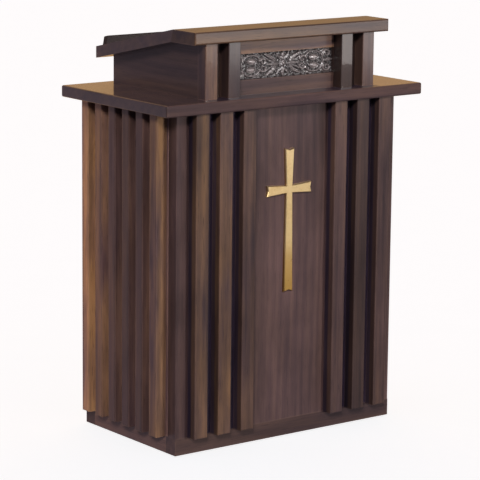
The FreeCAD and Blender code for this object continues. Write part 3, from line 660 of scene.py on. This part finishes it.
# Painted light and shade: share of the colour's brightness on faces that look sideways and on faces that look
# forward, set for how the light falls on each side
FACING_LIGHT = {"front_fin": (0.8, 1.0), "riser_batten": (0.6, 1.0), "plinth_front": (2.4, 1.0),
          "left_fin_1": (1.0, 1.1), "left_fin_6": (1.0, 1.0), "left_fin": (1.0, 1.65)}

# Strength of the cloudy light and dark, and of the long narrow ribbons
USUAL_CLOUD = 0.20
CLOUDS = {"front_panel": 0.42, "front_fin": 0.34, "left_fin": 0.30, "right_fin": 0.30,
          "desk_ledge": 0.30, "riser_left_panel": 0.40}
USUAL_RIBBON = 1.0
RIBBONS = {"front_panel": 0.75, "front_fin": 1.9, "left_fin": 1.9, "right_fin": 1.9}

# Bands of |x| and y with painted shade, a darker and bluer colour and a duller coat: between the front fins,
# on the fins' sides near the panel, and on the deck at the foot of the riser. ANYWHERE lies past every face
# of the lectern.
ANYWHERE = 1.0
FINS_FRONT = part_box("front_fin_1")[0].y
FINS_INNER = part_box("front_fin_4")[0].x
FINS_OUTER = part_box("front_fin_6")[1].x
PANEL_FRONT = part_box("front_panel")[0].y
DECK_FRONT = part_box("deck")[0].y
RISER_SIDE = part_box("riser_batten_4")[1].x
SHADE_BANDS = {"front_panel": (FINS_INNER, FINS_OUTER, -ANYWHERE, PANEL_FRONT + 8 * MM),
            "deck": (-ANYWHERE, RISER_SIDE + 2.5 * MM, DECK_FRONT + 7.5 * MM, PANEL_FRONT + 17 * MM),
            "front_fin": (-ANYWHERE, ANYWHERE, FINS_FRONT + 19 * MM, ANYWHERE)}

PLAIN_FINISHES = {"beech": plain_beech, "zinc_steel": zinc_steel, "nylon": black_nylon}


def own(table, node, usual=None):
    """The table's entry for a board, or else for the numbered set that it belongs to, or the usual one."""
    return table.get(node, table.get(node.rstrip("0123456789").rstrip("_"), usual))


def grain_axis(node):
    if node in GRAIN_ACROSS:
        return "x"
    return "y" if node in GRAIN_DEEP else "z"


def board_look(node, number):
    """Everything that tells one walnut board from another."""
    low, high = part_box(node)
    coat, coat_rough, rough = SATIN_COAT if node in SATIN_INSIDE else COATS.get(node, USUAL_COAT)
    plain_tone = 0.92 + 0.05 * (number * 7 % 5)
    return SimpleNamespace(
        number=number, low=low, high=high, grain=grain_axis(node),
        tone=own(TONES, node, plain_tone), gold=own(GOLDS, node, USUAL_GOLD),
        coat=coat, coat_rough=coat_rough, rough=rough,
        flanks=own(FACING_LIGHT, node), recess=own(SHADE_BANDS, node),
        cloud=own(CLOUDS, node, USUAL_CLOUD), ribbon=own(RIBBONS, node, USUAL_RIBBON))


def node_finish(node, number, slot):
    """The material of one CAD node."""
    name = node + "_finish"
    if slot == "gilt_brass":
        return gilt_brass(name, *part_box(node))
    if slot in PLAIN_FINISHES:
        return PLAIN_FINISHES[slot](name)
    return walnut(name, board_look(node, number))


def finish_nodes():
    slots = {part["node"]: part["material_slot"] for part in frame["record"]["subparts"]}
    for number, node in enumerate(sorted(NODES), 1):
        if node == "carved_grille":
            continue
        piece = NODES[node]
        piece.data.materials.clear()
        piece.data.materials.append(node_finish(node, number, slots[node]))


# ---------------------------------------------------------------- floor and backdrop

STAGE_REACH = 60.0
BACKDROP_SIDES = 48


def stage_mesh(name, points, faces, base, glow):
    """A pale piece of the studio that the camera sees but that neither lights nor mirrors in the lectern."""
    graph = Graph(name + "_finish")
    speck = graph.noise(graph.place(), 6.0)
    graph.set(Base_Color=graph.ramp(speck, [(NOISE_LOW, base), (NOISE_HIGH, 1.04 * base)]), Roughness=0.9,
              Specular_IOR_Level=0.0, Emission_Color=(1, 1, 1, 1), Emission_Strength=glow)
    mesh = bpy.data.meshes.new(name)
    mesh.from_pydata(points, [], faces)
    mesh.materials.append(graph.material)
    piece = bpy.data.objects.new(name, mesh)
    piece.visible_diffuse = False
    piece.visible_glossy = False
    bpy.context.scene.collection.objects.link(piece)
    piece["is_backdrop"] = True
    return piece


def studio_floor():
    side = STAGE_REACH
    corners = [(-side, -side, 0), (side, -side, 0), (side, side, 0), (-side, side, 0)]
    stage_mesh("studio_floor", corners, [(0, 1, 2, 3)], base=0.62, glow=0.86)


def studio_backdrop():
    """A pale round wall at the floor's far edge, for views that look out level."""
    count = BACKDROP_SIDES
    turns = [2 * math.pi * i / count for i in range(count)]
    ring = [(STAGE_REACH * math.cos(turn), STAGE_REACH * math.sin(turn)) for turn in turns]
    points = [(x, y, -1) for x, y in ring] + [(x, y, STAGE_REACH) for x, y in ring]
    faces = [(i, (i + 1) % count, count + (i + 1) % count, count + i) for i in range(count)]
    wall = stage_mesh("studio_backdrop", points, faces, base=0.0, glow=0.95)
    wall.visible_shadow = False


# ---------------------------------------------------------------- light

WORLD_COLOUR = (0.13, 0.13, 0.175)


def aim_at(lamp, place, aim):
    lamp.location = place
    lamp.rotation_euler = (Vector(aim) - Vector(place)).to_track_quat("-Z", "Y").to_euler()
    bpy.context.scene.collection.objects.link(lamp)


def light_only(lamp, pieces):
    """Lets a lamp light nothing but the given pieces."""
    lit = bpy.data.collections.new("lit_by_" + lamp.name)
    for piece in pieces:
        lit.objects.link(piece)
    lamp.light_linking.receiver_collection = lit


def area_light(name, place, aim, size, radiance, colour, pieces, gloss=True, diffuse=True):
    """A flat soft lamp that lights only the given pieces."""
    light = bpy.data.lights.new(name, "AREA")
    light.shape = "RECTANGLE"
    light.size, light.size_y = size
    light.energy = radiance * math.pi * size[0] * size[1]
    light.color = colour
    lamp = bpy.data.objects.new(name, light)
    lamp.visible_camera = False
    lamp.visible_glossy = gloss
    lamp.visible_diffuse = diffuse
    aim_at(lamp, place, aim)
    light_only(lamp, pieces)


def far_light(name, strength, turn, rise, spread, colour, pieces, gloss=True):
    """A distant lamp, turned left of the front and raised by degrees, that lights only the given pieces."""
    light = bpy.data.lights.new(name, "SUN")
    light.energy = strength
    light.angle = math.radians(spread)
    light.color = colour
    lamp = bpy.data.objects.new(name, light)
    lamp.visible_glossy = gloss
    turn, rise = math.radians(turn), math.radians(rise)
    place = (-math.sin(turn) * math.cos(rise), -math.cos(turn) * math.cos(rise), math.sin(rise))
    aim_at(lamp, place, (0, 0, 0))
    light_only(lamp, pieces)


def glow_lobe(nodes, links, sky, middle, start, end, colour):
    """A soft patch of colour in the world about one direction, from none at start to full at end."""
    facing = nodes.new("ShaderNodeVectorMath")
    facing.operation = "DOT_PRODUCT"
    links.new(sky, facing.inputs[0])
    facing.inputs[1].default_value = Vector(middle).normalized()
    lobe = nodes.new("ShaderNodeValToRGB")
    links.new(facing.outputs["Value"], lobe.inputs["Fac"])
    lobe.color_ramp.interpolation = "EASE"
    lobe.color_ramp.elements[0].position = start
    lobe.color_ramp.elements[1].position = end
    lobe.color_ramp.elements[1].color = (*colour, 1)
    return lobe.outputs["Color"]


def colour_sum(nodes):
    """A node that adds two colours."""
    add = nodes.new("ShaderNodeMix")
    add.data_type = "RGBA"
    add.blend_type = "ADD"
    add.inputs[MIX_FACTOR].default_value = 1.0
    return add


def studio_world():
    """A dim cool room with a warm glow low down behind the lectern and a cool one to its left."""
    world = bpy.data.worlds.new("studio")
    world.use_nodes = True
    nodes, links = world.node_tree.nodes, world.node_tree.links
    sky = nodes.new("ShaderNodeTexCoord").outputs["Generated"]
    warm = glow_lobe(nodes, links, sky, (0.594, 0.783, 0.10), 0.35, 0.85, (0.47, 0.23, 0.0))
    cool = glow_lobe(nodes, links, sky, (-0.60, 0.80, -0.15), 0.70, 0.95, (0.20, 0.15, 0.18))
    lit = colour_sum(nodes)
    lit.inputs[MIX_A].default_value = (*WORLD_COLOUR, 1)
    links.new(warm, lit.inputs[MIX_B])
    total = colour_sum(nodes)
    links.new(lit.outputs[MIX_RESULT], total.inputs[MIX_A])
    links.new(cool, total.inputs[MIX_B])
    links.new(total.outputs[MIX_RESULT], nodes["Background"].inputs["Color"])
    bpy.context.scene.world = world


def wood_lights(lectern):
    """A low key a little right of the front, a higher fill from the left and one from behind."""
    far_light("key_front", strength=1.45, turn=-14, rise=6, spread=10, colour=(1.0, 0.96, 0.93),
              pieces=lectern)
    far_light("fill_left", strength=2.3, turn=42, rise=29, spread=12, colour=(1.0, 0.95, 0.95),
              pieces=lectern)
    far_light("fill_rear", strength=1.5, turn=-125, rise=25, spread=20, colour=(1.0, 0.96, 0.94),
              pieces=lectern, gloss=False)
    all_but_deck = [piece for piece in lectern if piece.name != NODES["deck"].name]
    area_light("front_card", place=(0.62, -1.05, 1.24), aim=(0, -0.2, 1.05), size=(1.1, 0.62),
               radiance=3.2, colour=(1.0, 0.93, 0.89), pieces=all_but_deck, diffuse=False)
    area_light("warm_side", place=(-0.80, 0.60, 0.42), aim=(-0.4, 0.25, 0.42), size=(0.10, 0.80),
               radiance=9.0, colour=(1.0, 0.62, 0.28), pieces=lectern, gloss=False)


def cross_lights():
    """Lamps for the gilding: a broad card that it mirrors in front, and a small one to its left."""
    area_light("cross_card", place=(0.4, -2.2, 0.5), aim=(0, -0.2, 0.6), size=(2.6, 1.6), radiance=0.55,
               colour=(1.0, 0.97, 0.92), pieces=[NODES["cross"], NODES["cross_studs"]], diffuse=False)
    area_light("cross_side", place=(-1.6, -0.9, 1.1), aim=(0, -0.2, 0.65), size=(0.9, 0.7), radiance=2.5,
               colour=(1.0, 0.97, 0.88), pieces=[NODES["cross"]])


def studio_light(carving):
    studio_world()
    meshes = [piece for piece in bpy.context.scene.objects if piece.type == "MESH"]
    wood_lights([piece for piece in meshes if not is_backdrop(piece)])
    cross_lights()
    area_light("carving_glint", place=(-0.2, -1.3, 1.9), aim=(0, -0.18, 1.07), size=(0.9, 0.45),
               radiance=17.0, colour=(1.0, 0.98, 0.99), pieces=[carving], diffuse=False)


# ---------------------------------------------------------------- camera

VIEW_TURN = math.radians(37.228)
VIEW_DROP = math.radians(11.191)
VIEW_ROLL = math.radians(0.581)
VIEW_POINT = (-4.163, -5.471, 1.896)
LENS_MM = 182.1
SENSOR_MM = 36.0
FAR_CLIP = 200


def photo_camera():
    lens = bpy.data.cameras.new("photo_camera")
    lens.lens = LENS_MM
    lens.sensor_width = SENSOR_MM
    lens.clip_end = FAR_CLIP
    camera = bpy.data.objects.new("photo_camera", lens)
    turn = (Matrix.Rotation(-VIEW_TURN, 4, "Z") @ Matrix.Rotation(math.pi / 2 - VIEW_DROP, 4, "X")
            @ Matrix.Rotation(VIEW_ROLL, 4, "Z"))
    camera.matrix_world = Matrix.Translation(VIEW_POINT) @ turn
    bpy.context.scene.collection.objects.link(camera)
    bpy.context.scene.camera = camera


finish_nodes()
carving = carved_panel()
studio_floor()
studio_backdrop()
studio_light(carving)
photo_camera()
bpy.context.scene.view_settings.view_transform = "Standard"
